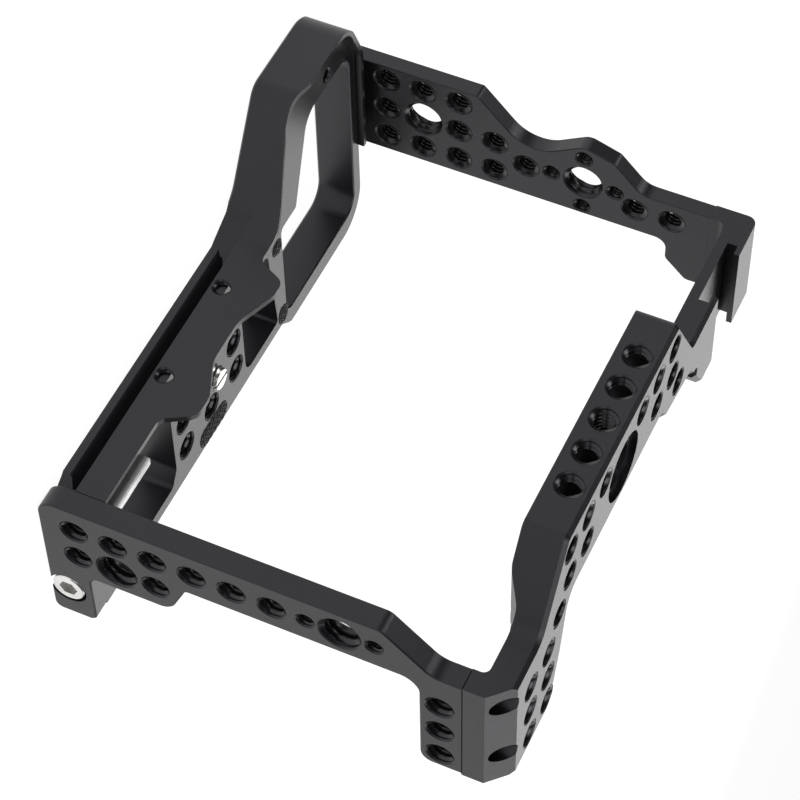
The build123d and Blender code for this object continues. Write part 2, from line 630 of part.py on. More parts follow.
def top_section():
    """Front view of the top plate: corner, thin stretch, bar and shoe strip."""
    thin = TOP_Z - TOP_THIN_T
    strip = SHOE_FLOOR_Z - SHOE_FLOOR_T
    strip_end = RIGHT_OUTER_X + STRIP_END
    neck = LEFT_OUTER_X - NECK_X
    return [(LEFT_OUTER_X, SEAM_Z), (LEFT_OUTER_X, TOP_Z - CORNER_CUT),
            (LEFT_OUTER_X - CORNER_CUT, TOP_Z), (RIGHT_OUTER_X, TOP_Z, 2.4),
            (RIGHT_OUTER_X, SEAM_Z), (RIGHT_OUTER_X + SHOE_END_T, SEAM_Z),
            (RIGHT_OUTER_X + SHOE_END_T, strip, 3.3), (strip_end - 4.5, strip, 2),
            (strip_end, SEAM_Z, 2), (neck, SEAM_Z, 3), (neck + 4.5, thin, 3),
            (LEFT_INNER_X, thin, 3.5),
            (LEFT_INNER_X, SEAM_Z)]


def shoe_channel():
    channel_l = SHOE_X - SHOE_CHANNEL_W / 2
    channel_r = SHOE_X + SHOE_CHANNEL_W / 2
    lip_z = TOP_Z - SHOE_LIP_T
    section = [(channel_l, SHOE_FLOOR_Z), (channel_r, SHOE_FLOOR_Z), (channel_r, lip_z),
               (SHOE_X + SHOE_OPENING_W / 2, lip_z), (SHOE_X + SHOE_OPENING_W / 2, TOP_Z + 1),
               (SHOE_X - SHOE_OPENING_W / 2, TOP_Z + 1), (SHOE_X - SHOE_OPENING_W / 2, lip_z),
               (channel_l, lip_z)]
    return front(section, TOP_FRONT_Y - 1, SHOE_REAR_Y + 1)


def corner_screw_spots():
    return [POST_HOLE_Y - PITCH / 2, POST_HOLE_Y + 1.5 * PITCH]


def corner_dowel_spots():
    return [POST_HOLE_Y + PITCH / 2, POST_REAR_Y - 2.5]


def top_hole_spots():
    """Quarter-inch holes through the top: centre and height of the lower mouth."""
    left = LEFT_OUTER_X - BAR_LEFT_HOLE
    right = RIGHT_OUTER_X + BAR_RIGHT_HOLE
    field = LEFT_OUTER_X - FIELD_X
    rear = BAR_HOLE_Y + PITCH
    spots = [(field, POST_HOLE_Y + j * PITCH, TOP_Z - TOP_THIN_T) for j in range(3)]
    spots += [(field - PITCH, POST_HOLE_Y + j * PITCH, SEAM_Z) for j in range(3)]
    spots += [(left - i * PITCH, BAR_HOLE_Y, SEAM_Z) for i in range(3)]
    spots += [(right + i * PITCH, BAR_HOLE_Y, SEAM_Z) for i in range(3)]
    spots += [(left - i * PITCH, rear, SEAM_Z) for i in range(2)]
    spots += [(right + i * PITCH, rear, SEAM_Z) for i in range(2)]
    return spots + [(left + 5.2, -8.2, SEAM_Z), (right - 4.6, -8.4, SEAM_Z)]


def top_plate():
    body = plan(top_outline(), SEAM_Z, TOP_Z)
    body = body & front(top_section(), BAR_FRONT_Y - 1, POST_REAR_Y + 1)
    body = body - shoe_channel() - lap_space()
    top_edges = [e for e in body.edges().filter_by_position(Axis.Z, TOP_Z - 0.01, TOP_Z + 0.01)
                 if RIGHT_OUTER_X + SHOE_SIDE + 1.8 < e.center().X
                 < LEFT_OUTER_X - CORNER_CUT - 0.1]
    body = chamfer(top_edges, EDGE)
    cutters = [bored("Z", QUARTER_R, x, y, low, TOP_Z) for x, y, low in top_hole_spots()]
    row = BAR_MIDDLE_X - BAR_ROW_SHIFT
    for i in range(-2, 3):
        cutters.append(bored("Y", QUARTER_R, row + i * PITCH, SEAM_Z + BAR_HOLE_H,
                             BAR_FRONT_Y, BAR_FRONT_Y + BAR_HOLE_DEPTH, (True, False)))
    cutters.append(rod("Z", EYE_R, EYE_X, EYE_Y, SEAM_Z - 1, TOP_Z + 1))
    cutters.append(rod("Z", EYE_RECESS_R, EYE_X, EYE_Y, TOP_Z - EYE_RECESS_DEPTH, TOP_Z + 1))
    cutters.append(rod("Z", 2.6, RIGHT_OUTER_X + 39.4, TOP_FRONT_Y + 15.0, TOP_Z - 5.0, TOP_Z + 1))
    for y in corner_screw_spots():
        cutters.append(rod("Z", SMALL_SHANK_R + FIT, LEFT_SCREW_X, y, SEAM_Z - 1, TOP_Z + 1))
        cutters.append(rod("Z", CORNER_POCKET_R, LEFT_SCREW_X, y,
                           SEAM_Z + CORNER_POCKET_FLOOR, TOP_Z + 1))
    for y in corner_dowel_spots():
        cutters.append(rod("Z", CORNER_DOWEL_R + FIT, LEFT_SCREW_X, y, SEAM_Z - 1,
                           SEAM_Z + CORNER_DOWEL_UP + DOWEL_END_GAP))
    for y in lap_screw_spots():
        cutters.append(rod("X", SMALL_SHANK_R + FIT, y, lap_screw_z(), RIGHT_OUTER_X,
                           SHOE_X - SHOE_CHANNEL_W / 2 - 1.5 + SCREW_END_GAP))
    return cut_all(body, cutters)


# ---------------------------------------------------------------- screws, pins and small parts

def camera_screw():
    body = rod("Z", SCREW_HEAD_R, 0, 0, 0, SCREW_HEAD_H)
    body = chamfer(body.edges().filter_by(GeomType.CIRCLE), 0.3)
    body = body + rod("Z", SCREW_NECK_R, 0, 0, SCREW_HEAD_H - 0.3, SCREW_TIP_Z - 1)
    body = body + rod("Z", SCREW_R, 0, 0, BASE_T + SCREW_RELIEF, SCREW_TIP_Z)
    body = chamfer(body.edges().sort_by(Axis.Z)[-1], 0.6)
    body = body - block(-7, 7, -0.7, 0.7, -1, 1.3)
    body = body - hexagon(4.0, 2.0)
    slot = block(-4, 4, -0.45, 0.45, SCREW_TIP_Z - 1.0, SCREW_TIP_Z + 1)
    return Pos(0, SCREW_Y, 0) * (body - slot)


def camera_screw_washer():
    base = SCREW_HEAD_H
    return (rod("Z", WASHER_R, 0, SCREW_Y, base, base + WASHER_T)
            - rod("Z", SCREW_NECK_R + RUNNING, 0, SCREW_Y, base - 1, base + WASHER_T + 1))


def socket_screw(head_r, head_h, shank_r, shank_l, across_flats, socket_depth):
    """Socket-head screw along Z: head standing on Z = 0, shank below it."""
    head = Cylinder(head_r, head_h, align=(Align.CENTER, Align.CENTER, Align.MIN))
    head = chamfer(head.edges().sort_by(Axis.Z)[-1], 0.3)
    head = head - Pos(0, 0, head_h - socket_depth) * hexagon(across_flats, socket_depth + 1)
    shank = Pos(0, 0, -shank_l) * Cylinder(
        shank_r, shank_l + 0.2, align=(Align.CENTER, Align.CENTER, Align.MIN))
    return head + chamfer(shank.edges().sort_by(Axis.Z)[0], 0.3)


def left_foot_screw():
    screw = socket_screw(FOOT_HEAD_R, FOOT_HEAD_H, FOOT_SHANK_R,
                         LEFT_T - FOOT_HEAD_H + LEFT_WINDOW_END_GAP - SCREW_END_GAP,
                         FOOT_SOCKET, FOOT_SOCKET_DEPTH)
    return Pos(LEFT_OUTER_X - FOOT_HEAD_H, FOOT_SCREW_Y, FOOT_SCREW_Z) * Rot(0, 90, 0) * screw


def top_left_screws():
    screw = socket_screw(CORNER_HEAD_R, CORNER_HEAD_H, SMALL_SHANK_R,
                         CORNER_POCKET_FLOOR + CORNER_REACH, CORNER_SOCKET,
                         CORNER_SOCKET_DEPTH)
    floor = SEAM_Z + CORNER_POCKET_FLOOR
    return [Pos(LEFT_SCREW_X, y, floor) * screw for y in corner_screw_spots()]


def top_right_screws():
    length = SHOE_X - SHOE_CHANNEL_W / 2 - 1.5 - RIGHT_OUTER_X
    screw = socket_screw(LAP_HEAD_R, LAP_HEAD_H, SMALL_SHANK_R, length, LAP_SOCKET,
                         LAP_SOCKET_DEPTH)
    return [Pos(RIGHT_OUTER_X, y, lap_screw_z()) * Rot(0, -90, 0) * screw
            for y in lap_screw_spots()]


def right_foot_screws():
    seat = RIGHT_OUTER_X + RIGHT_FOOT_HEAD_H
    screw = socket_screw(RIGHT_FOOT_HEAD_R, RIGHT_FOOT_HEAD_H, RIGHT_FOOT_SHANK_R,
                         LOOP_INNER_X - 1.2 - seat, RIGHT_FOOT_SOCKET,
                         RIGHT_FOOT_SOCKET_DEPTH)
    return [Pos(seat, y, RIGHT_FOOT_Z) * Rot(0, -90, 0) * screw for y in right_foot_spots()]


def left_foot_dowels():
    return [rod("X", SMALL_SHANK_R, y, LEFT_DOWEL_Z, LEFT_INNER_X - LEFT_DOWEL_IN_BASE,
                LEFT_INNER_X + LEFT_DOWEL_IN_PLATE) for y in left_dowel_spots()]


def right_foot_dowels():
    return [rod("X", SMALL_SHANK_R, y, RIGHT_FOOT_Z, RIGHT_INNER_X - RIGHT_DOWEL_IN_PLATE,
                LOOP_LEFT_X + RIGHT_DOWEL_IN_BASE) for y in right_dowel_spots()]


def top_left_dowels():
    return [rod("Z", CORNER_DOWEL_R, LEFT_SCREW_X, y, SEAM_Z - CORNER_DOWEL_DOWN,
                SEAM_Z + CORNER_DOWEL_UP) for y in corner_dowel_spots()]


def deck_pad(x, y, half_l, half_w):
    body = pad_body(x, y, half_l, half_w, BASE_T - RUBBER_SINK,
                    BASE_T - RUBBER_SINK + RUBBER_T)
    return chamfer(body.faces().sort_by(Axis.Z)[-1].edges(), 0.25)


def stowed_key():
    body = block(KEY_X, KEY_END_X, KEY_Y, KEY_Y + KEY_T, KEY_BOTTOM_Z, KEY_BOTTOM_Z + KEY_H)
    return chamfer(body.edges().filter_by(Axis.X), 0.3)


def key_magnets():
    return [rod("Z", MAGNET_R, x, KEY_Y + KEY_T / 2, KEY_BOTTOM_Z - MAGNET_T, KEY_BOTTOM_Z)
            for x in key_magnet_spots()]


def write(name, shape):
    down = Pos(0, -SCREW_Y, -BASE_T)
    if isinstance(shape, list):
        solids = Compound(children=[down * item for item in shape])
    else:
        solids = down * shape
    export_step(solids, os.path.join("parts", name + ".step"))


os.makedirs("parts", exist_ok=True)
write("base_plate", base_plate())
write("left_side_plate", left_side_plate())
write("right_side_plate", right_side_plate())
write("top_plate", top_plate())
write("camera_screw", camera_screw())
write("camera_screw_washer", camera_screw_washer())
write("left_foot_screw", left_foot_screw())
write("left_foot_dowels", left_foot_dowels())
write("right_foot_screws", right_foot_screws())
write("right_foot_dowels", right_foot_dowels())
write("top_left_screws", top_left_screws())
write("top_left_dowels", top_left_dowels())
write("top_right_screws", top_right_screws())
for name, x, y, half_l, half_w in pad_shapes():
    write(name, deck_pad(x, y, half_l, half_w))
write("stowed_key", stowed_key())
write("key_magnets", key_magnets())
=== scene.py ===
import math

import bmesh
import bpy
from mathutils import Matrix, Vector


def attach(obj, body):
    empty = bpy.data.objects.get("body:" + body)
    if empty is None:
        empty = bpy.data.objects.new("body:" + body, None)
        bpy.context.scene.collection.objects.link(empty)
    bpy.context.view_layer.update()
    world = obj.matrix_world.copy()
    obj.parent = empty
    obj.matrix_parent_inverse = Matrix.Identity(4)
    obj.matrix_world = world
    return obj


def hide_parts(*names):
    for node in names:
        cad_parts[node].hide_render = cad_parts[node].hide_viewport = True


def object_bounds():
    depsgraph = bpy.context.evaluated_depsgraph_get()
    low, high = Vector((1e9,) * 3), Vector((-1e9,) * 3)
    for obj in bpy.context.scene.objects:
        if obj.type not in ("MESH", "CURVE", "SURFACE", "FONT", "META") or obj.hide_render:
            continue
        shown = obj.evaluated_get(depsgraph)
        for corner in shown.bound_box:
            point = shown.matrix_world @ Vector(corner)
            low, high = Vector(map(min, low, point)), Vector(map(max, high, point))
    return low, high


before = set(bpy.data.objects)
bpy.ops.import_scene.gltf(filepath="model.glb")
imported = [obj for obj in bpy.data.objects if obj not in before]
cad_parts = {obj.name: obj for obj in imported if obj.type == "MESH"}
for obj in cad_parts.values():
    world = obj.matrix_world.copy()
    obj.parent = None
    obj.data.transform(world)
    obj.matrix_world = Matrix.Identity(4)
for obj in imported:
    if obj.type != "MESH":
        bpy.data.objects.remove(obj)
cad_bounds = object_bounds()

# Camera cage. Sizes below are in millimetres, and MM turns them into metres. Places are
# counted, as in the part's source, from the underside of the base and from the front row of
# deck holes; SHIFT moves them into the shared frame.

MM = 0.001
SHIFT = Vector((0.0, 2.5, -10.1))

# ---------------------------------------------------------------- plates

LEFT_FACES = (52.9, 58.5)         # inner and outer face of the left side plate
RIGHT_FACES = (-88.9, -84.5)      # outer and inner face of the right side plate
DECK_FACES = (0.0, 10.1)
TOP_FACES = (100.1, 110.5)
TOP_THIN_Z = 103.5                # underside of the thin stretch at the top left corner
TOP_SLOPE_Z = 104.0               # clear of the sloped underside beside the thin stretch
BAR_FRONT_Y = -31.7
LIP_FACES = (-21.7, -20.3)
POST_FACES = (-11.4, 23.4)        # front and rear of the left plate's post at the seam

# a hole gets a mouth ring where it opens on one of these faces
OPEN_FACES = (*LEFT_FACES, *RIGHT_FACES, *DECK_FACES, TOP_THIN_Z, TOP_FACES[1], BAR_FRONT_Y,
              LIP_FACES[0])

# ---------------------------------------------------------------- places of the holes

PITCH = 9.5                       # spacing of the accessory holes
LEFT_COLUMN = (-14.5, 8.6)        # y of the left plate's column, z of its lowest hole
LEFT_COLUMN_COUNT = 6
LEFT_EYE_RISE = 63.4              # the large hole above the column's lowest
LEFT_PIN_REACH = 8.0
POST_ROW_Y = -0.6                 # first hole of the post's row and of the top's field
POST_ROW_Z = 94.9
RIGHT_BLOCK = (-12.75, 16.3)      # middle of the lower row of the right plate's block
RIGHT_WAIST_HOLE = (-8.1, 53.0)
RIGHT_HEAD_HOLE = (-5.3, 81.3)
RIGHT_EYE = (-8.8, 67.8)
RIGHT_PIN_REACH = 8.2
FIELD_X = 45.7
BAR_LEFT_X = 25.8
BAR_RIGHT_X = -33.3
BAR_ROW_Y = -25.4
BAR_LEFT_REAR = (31.0, -8.2)
BAR_RIGHT_REAR = (-37.9, -8.4)
FRONT_ROW_X = -23.2
FRONT_ROW_Z = 105.3
FRONT_ROW_COUNT = 5
FRONT_ROW_DEPTH = 8.0
FRONT_ROW_SHORT = 4.0             # depth where a hole runs into one of the bar's
CROSSING = 3.4                    # half height of the gap that it leaves in the bar's holes
DECK_HOLE_X = 12.5
LIP_HOLES_X = (-10.8, 17.1)
LIP_HOLES_Z = 9.5

# ---------------------------------------------------------------- threads

# radius of the bore, thread pitch and thread depth
QUARTER = (3.2, 1.27, 0.68)
THREE_EIGHTHS = (4.8, 1.5875, 0.75)
THREE_EIGHTHS_DEEP = (4.8, 1.5875, 0.95)
M4 = (2.0, 0.7, 0.42)
# deeper and closer, so that the slanting view through the thin right plate is shut
QUARTER_CLOSE = (3.2, 1.053, 1.0)
CLOSE_PHASE = 298.0               # degrees at which these threads start
CLOSE_START = 0.06                # middle of their first turn, from the plate's face
TURN_STEPS = 36
RUN_OUT = 0.12                    # turns over which a thread runs out
RUN_OUT_REST = 0.4                # steps' worth of height left at its very end
CREST = 0.06                      # half width of a thread's crest, in pitches
SINK = 0.06                       # threads reach this far into the wall
FACE_GAP = 0.03                   # no thread comes nearer to a face
MOUTH = 0.4                       # countersink of each hole
RING_STEPS = 48
# section of a mouth's ring: reach beyond the bore's wall and depth below the face
RING_SECTION = ((MOUTH + 0.02, 0.01), (-0.03, MOUTH + 0.02), (0.04, MOUTH + 0.04),
                (MOUTH + 0.04, 0.04))

# ---------------------------------------------------------------- seam and rail

SEAM_PROUD = 0.02                 # the strip stands out by this
SEAM_SKIN = 0.04                  # and is this thick
SEAM_HALF_H = 0.12
SEAM_START_X = LEFT_FACES[0] + 0.6
POST_CORNER = 0.32                # how far the strip cuts the post's outer corners
RAIL_END_X = -17.5                # where the dovetail's undercut stops
RAIL_FRONT_Y = -17.9
RAIL_NECK_Y = -14.9
RAIL_FLANGE_H = 1.9
RAIL_KNEE_H = 4.9
# from the undercut's end along the front, round the tip and back along the neck
RAIL_OUTLINE = ((RAIL_END_X, RAIL_FRONT_Y), (-24.4, RAIL_FRONT_Y), (-27.2, -19.1),
                (-27.0, -18.3), (-23.0, -16.6), (-20.6, RAIL_NECK_Y),
                (RAIL_END_X, RAIL_NECK_Y))

# ---------------------------------------------------------------- camera screw

SCREW_Y = -2.5
SCREW_R = 3.15
SCREW_PITCH = 1.27
SCREW_THREAD_DEPTH = 0.5
SCREW_THREAD_FLANK = 2.3          # how steeply a groove's sides rise
SCREW_ROOT_FLAT = 0.9             # share of the full depth at which a groove is flat
SCREW_THREAD_FACES = (10.4, 13.6)
SCREW_THREAD_STEPS = 44
SCREW_TIP_BEVEL = 0.6
SCREW_ROOT_BEVEL = 0.4
SCREW_SLOT = (0.9, 1.0)           # width and depth of the slot in the tip
SCREW_HEAD_R = 6.0
SCREW_HEAD_H = 2.6
SCREW_HEAD_BEVEL = 0.3
SCREW_NECK_R = 2.4
NECK_STEP = 0.001                 # height within which head, neck and thread change over
COIN_SLOT = (1.4, 1.3)            # width and depth of the slot in the head
HEX_ACROSS = 4.0
HEX_DEPTH = 2.0
KNURLS = 44
KNURL_DEPTH = 0.2
OVERCUT = 1.0                     # cutters stand out of the screw by this

# ---------------------------------------------------------------- rubber pads

PAD_FACES = (9.1, 10.5)
PAD_ROUND = 0.95                  # corner radius, as a share of the smaller half side
PAD_CORNER_STEPS = 10
PAD_RIM = ((0.0, 0.25), (0.07, 0.08), (0.25, 0.0))    # inset and depth along the rounded rim
PAD_RIB_H = 0.18
PAD_RIB_W = 0.5
PAD_RIB_CROWN = 0.55              # share of the width that is flat on top
PAD_RIB_SINK = 0.1
PAD_RIB_SPACING = 1.9
PAD_RIB_EDGE = 0.5
PAD_RIB_SAMPLES = 60              # places tried along half of a rib
PAD_RIB_LEAST = 6                 # a rib with fewer of them on the pad is left out

# name, centre, half length and half width
PADS = (("deck_pad_rear", 0.0, 16.2, 6.75, 2.8),
        ("deck_pad_corner", -36.8, 16.2, 2.3, 2.8),
        ("deck_pad_front", -36.2, -8.8, 2.3, 2.3))

# ---------------------------------------------------------------- finishes, camera, studio

# the camera's place in millimetres in the shared frame, and the way its right and back point
CAMERA_PLACE = (342.38, -506.93, 215.86)
CAMERA_RIGHT = (-0.42058, 0.01531, 0.90713)
CAMERA_BACK = (0.55119, -0.78987, 0.26888)
CAMERA_LENS = 126.73
CAMERA_SENSOR = 36.0
CAMERA_NEAR = 0.02                # metres

EDGE_ROUND = 0.12                 # radius that the finishes give to sharp edges
FLOOR_SIZE = 9.0                  # metres
WORLD_HEIGHTS = (0.3, 0.8)        # heights in the sky between which it dims
WORLD_STRENGTHS = (1.0, 0.5)
LIGHT_AIM = (-15.0, -10.0, 40.0)

# name, direction, distance and sides in metres, radiance
SOFTBOXES = (("rear_box", (-0.48, 0.84, 0.42), 1.2, (1.0, 0.6), 2.4),
             ("top_box", (0.25, 0.1, 1.0), 1.3, (0.7, 0.7), 3.0),
             ("front_box", (0.7, -0.6, 0.5), 1.4, (0.7, 0.7), 2.0),
             ("corner_box", (0.3, 0.8, 0.55), 1.3, (0.5, 0.5), 2.6),
             ("side_box", (-0.55, -0.52, 0.64), 1.3, (0.5, 0.5), 4.5))


# ---------------------------------------------------------------- small helpers

AXES = {"X": (Vector((1, 0, 0)), Vector((0, 1, 0)), Vector((0, 0, 1))),
        "Y": (Vector((0, 1, 0)), Vector((0, 0, 1)), Vector((1, 0, 0))),
        "Z": (Vector((0, 0, 1)), Vector((1, 0, 0)), Vector((0, 1, 0)))}


def around(axis, centre, angle, radius, travel):
    """Place at a radius and an angle round an axis, and a travel along it."""
    along, u, v = AXES[axis]
    return centre + along * travel + (math.cos(angle) * u + math.sin(angle) * v) * radius


def loft(work, sections, ring=False):
    """Skin through matching sections of places, closed as a ring or by two end faces."""
    loops = [[work.verts.new((Vector(spot) + SHIFT) * MM) for spot in section]
             for section in sections]
    count = len(loops[0])
    followers = loops[1:] + loops[:1] if ring else loops[1:]
    for before, after in zip(loops, followers):
        for k in range(count):
            j = (k + 1) % count
            work.faces.new((before[k], before[j], after[j], after[k]))
    if not ring:
        work.faces.new(reversed(loops[0]))
        work.faces.new(loops[-1])


def link(name, data):
    piece = bpy.data.objects.new(name, data)
    bpy.context.scene.collection.objects.link(piece)
    return piece


def piece_from(name, work):
    """Object made of what work holds."""
    bmesh.ops.recalc_face_normals(work, faces=work.faces)
    mesh = bpy.data.meshes.new(name)
    work.to_mesh(mesh)
    work.free()
    return link(name, mesh)


def finish_mesh(mesh, finish, angle):
    """Give a mesh its only material, smooth up to an angle between faces."""
    mesh.shade_smooth()
    mesh.set_sharp_from_angle(angle=math.radians(angle))
    mesh.materials.clear()
    mesh.materials.append(finish)


def cage_piece(name, work, finish, angle=30.0):
    piece = piece_from(name, work)
    finish_mesh(piece.data, finish, angle)
    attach(piece, "cage")


# ---------------------------------------------------------------- materials

class Nodes:
    """A material's node tree with short calls for what the finishes share."""

    def __init__(self, name):
        self.material = bpy.data.materials.new(name)
        self.material.use_nodes = True
        self.tree = self.material.node_tree
        self.shader = self.tree.nodes["Principled BSDF"]
        self.place = self.add("ShaderNodeTexCoord").outputs["Object"]

    def add(self, kind, **inputs):
        node = self.tree.nodes.new(kind)
        for key, value in inputs.items():
            node.inputs[key.replace("_", " ")].default_value = value
        return node

    def join(self, output, target):
        self.tree.links.new(output, target)

    def drive(self, key, output):
        """Let an output set one of the shader's inputs."""
        self.join(output, self.shader.inputs[key])

    def set(self, **values):
        """Set constants on the shader's own inputs."""
        for key, value in values.items():
            self.shader.inputs[key.replace("_", " ")].default_value = value

    def noise(self, scale, detail=3.0, roughness=0.5):
        node = self.add("ShaderNodeTexNoise", Scale=scale, Detail=detail, Roughness=roughness)
        self.join(self.place, node.inputs["Vector"])
        return node.outputs["Fac"]

    def spread(self, value, low, high, from_low=0.0, from_high=1.0):
        """Stretch a value from one range to another."""
        node = self.add("ShaderNodeMapRange")
        self.join(value, node.inputs["Value"])
        node.inputs["From Min"].default_value = from_low
        node.inputs["From Max"].default_value = from_high
        node.inputs["To Min"].default_value = low
        node.inputs["To Max"].default_value = high
        return node.outputs["Result"]

    def blend(self, factor, first, second):
        """Mix two colours, each given as a triple or as an output."""
        node = self.add("ShaderNodeMix")
        node.data_type = "RGBA"
        self.join(factor, node.inputs["Factor"])
        for socket, value in ((node.inputs["A"], first), (node.inputs["B"], second)):
            if hasattr(value, "links"):
                self.join(value, socket)
            else:
                socket.default_value = (*value, 1.0)
        return node.outputs["Result"]

    def edges(self):
        """Mask that is high near sharp edges, with the rounded normal beside it."""
        rounded = self.add("ShaderNodeBevel", Radius=EDGE_ROUND * MM)
        rounded.samples = 6
        flat = self.add("ShaderNodeNewGeometry")
        dot = self.add("ShaderNodeVectorMath")
        dot.operation = "DOT_PRODUCT"
        self.join(rounded.outputs["Normal"], dot.inputs[0])
        self.join(flat.outputs["Normal"], dot.inputs[1])
        # high at sharp edges; the anodised finishes use it to paint an edge highlight
        painted_edge_highlight = self.spread(dot.outputs["Value"], 1.0, 0.0, 0.75, 0.98)
        return painted_edge_highlight, rounded.outputs["Normal"]

    def bump(self, height, strength, distance, normal=None):
        node = self.add("ShaderNodeBump", Strength=strength, Distance=distance)
        self.join(height, node.inputs["Height"])
        if normal is not None:
            self.join(normal, node.inputs["Normal"])
        self.drive("Normal", node.outputs["Normal"])


def anodised(name, dark=(0.0062, 0.0062, 0.0076), light=(0.0098, 0.0097, 0.0118),
             rough=(0.34, 0.42), grain_depth=0.10, gloss=0.5):
    """Bead-blasted and anodised: clouded near-black, satin grain, sharp edges lightened as a
    painted highlight.
    """
    nodes = Nodes(name)
    cloud = nodes.noise(60.0, 4.0)
    grain = nodes.noise(5200.0, 2.0, 0.6)
    mottle = nodes.noise(2400.0, 3.0)
    painted_edge_highlight, rounded = nodes.edges()
    tone = nodes.blend(nodes.spread(cloud, 0.0, 1.0, 0.2, 0.8), dark, light)
    # painted highlight: sharp edges are lightened towards pale grey, in place of the light
    # that their small chamfers catch
    tone = nodes.blend(nodes.spread(painted_edge_highlight, 0.0, 0.5), tone, (0.045, 0.045, 0.05))
    nodes.drive("Base Color", tone)
    nodes.drive("Roughness", nodes.spread(mottle, *rough, 0.3, 0.7))
    nodes.bump(grain, grain_depth, 0.05 * MM, rounded)
    nodes.set(IOR=1.49, Specular_IOR_Level=gloss, Specular_Tint=(0.96, 0.94, 1.0, 1.0))
    return nodes.material


def machined(name, colour, rough, grain_depth=0.04):
    """Ground or turned bright metal: faint clouding, fine grain and softened edges."""
    nodes = Nodes(name)
    cloud = nodes.noise(260.0, 3.0)
    grain = nodes.noise(6400.0, 2.0)
    clouded = nodes.spread(cloud, 0.0, 1.0, 0.3, 0.7)
    shade = tuple(0.85 * c for c in colour)
    nodes.drive("Base Color", nodes.blend(clouded, colour, shade))
    nodes.drive("Roughness", nodes.spread(cloud, rough - 0.04, rough + 0.06, 0.3, 0.7))
    _, rounded = nodes.edges()
    nodes.bump(grain, grain_depth, 0.02 * MM, rounded)
    nodes.set(Metallic=1.0)
    return nodes.material


def rubber():
    """Matt black rubber with a fine pored skin and a trace of dust."""
    nodes = Nodes("rubber")
    pores = nodes.noise(2600.0, 3.0, 0.6)
    dust = nodes.spread(nodes.noise(420.0, 4.0), 0.0, 1.0, 0.45, 0.75)
    nodes.drive("Base Color", nodes.blend(dust, (0.012, 0.012, 0.013), (0.028, 0.028, 0.029)))
    nodes.drive("Roughness", nodes.spread(pores, 0.55, 0.72, 0.3, 0.7))
    nodes.bump(pores, 0.25, 0.04 * MM)
    nodes.set(IOR=1.5)
    return nodes.material


def nylon():
    """Moulded off-white nylon, slightly translucent."""
    nodes = Nodes("nylon")
    cloud = nodes.noise(700.0, 3.0)
    tint = nodes.spread(cloud, 0.0, 1.0, 0.3, 0.7)
    nodes.drive("Base Color", nodes.blend(tint, (0.62, 0.60, 0.55), (0.72, 0.70, 0.66)))
    nodes.drive("Roughness", nodes.spread(cloud, 0.4, 0.55, 0.3, 0.7))
    nodes.bump(nodes.noise(3000.0), 0.1, 0.03 * MM)
    nodes.set(Subsurface_Weight=0.1)
    return nodes.material


def floor_paper():
    """White paper that glows a little, so that it stays white up to the object."""
    nodes = Nodes("floor_paper")
    cloud = nodes.spread(nodes.noise(3.0, 3.0), 0.0, 1.0, 0.3, 0.7)
    nodes.drive("Base Color", nodes.blend(cloud, (0.19, 0.19, 0.19), (0.21, 0.21, 0.21)))
    nodes.set(Roughness=0.9, Specular_IOR_Level=0.05, Emission_Strength=0.94,
              Emission_Color=(1.0, 1.0, 1.0, 1.0))
    return nodes.material


def finishes():
    """The finishes by their plain names, since Blender may number a material's own name."""
    return {
        "black_anodised": anodised("black_anodised"),
        "cut_anodised": anodised("cut_anodised", dark=(0.005, 0.005, 0.006),
                                 light=(0.008, 0.008, 0.0095), rough=(0.2, 0.26),
                                 grain_depth=0.02),
        "seam_shadow": anodised("seam_shadow", dark=(0.0008, 0.0008, 0.001),
                                light=(0.0015, 0.0015, 0.0018), rough=(0.8, 0.9),
                                grain_depth=0.02, gloss=0.04),
        "bright_steel": machined("bright_steel", (0.80, 0.79, 0.77), 0.30),
        "ground_steel": machined("ground_steel", (0.72, 0.72, 0.725), 0.5, grain_depth=0.02),
        "dowel_steel": machined("dowel_steel", (0.52, 0.52, 0.53), 0.3),
        "black_steel": anodised("black_steel", dark=(0.008, 0.008, 0.009),
                                light=(0.014, 0.014, 0.015)),
        "magnet": machined("magnet", (0.66, 0.65, 0.64), 0.2),
        "nylon": nylon(),
        "rubber": rubber()}


# ---------------------------------------------------------------- threads

def mouth_ring(work, axis, centre, radius, face, inward):
    """Bright-cut skin of a countersink: its section hugs the cone at the hole's mouth."""
    angles = [2 * math.pi * k / RING_STEPS for k in range(RING_STEPS)]
    loft(work, [[around(axis, centre, angle, radius + reach, face + inward * depth)
                 for reach, depth in RING_SECTION] for angle in angles], ring=True)


def thread_ridge(work, axis, centre, low, high, thread, phase):
    """Right-hand helical ridge of V section on the wall of a bore between two faces."""
    radius, pitch, depth = thread
    start = low + (CLOSE_START if thread is QUARTER_CLOSE else MOUTH)
    end = high - MOUTH
    turns = (end - start) / pitch
    steps = max(TURN_STEPS, round(turns * TURN_STEPS))
    run_out = RUN_OUT * TURN_STEPS
    sections = []
    for i in range(steps + 1):
        travel = i / steps
        angle = math.radians(phase) + 2 * math.pi * turns * travel
        scale = min(1.0, (i + RUN_OUT_REST) / run_out, (steps - i + RUN_OUT_REST) / run_out)
        half = 0.5 * pitch * scale
        crest = CREST * pitch * scale
        middle = start + travel * (end - start)
        section = []
        for on_wall, offset in ((True, -half), (False, -crest), (False, crest), (True, half)):
            place = min(max(middle + offset, low + FACE_GAP), high - FACE_GAP)
            wall = radius + SINK + max(0.0, MOUTH - (place - low))
            reach = wall if on_wall else radius - depth * scale
            section.append(around(axis, centre, angle, reach, place))
        sections.append(section)
    loft(work, sections)


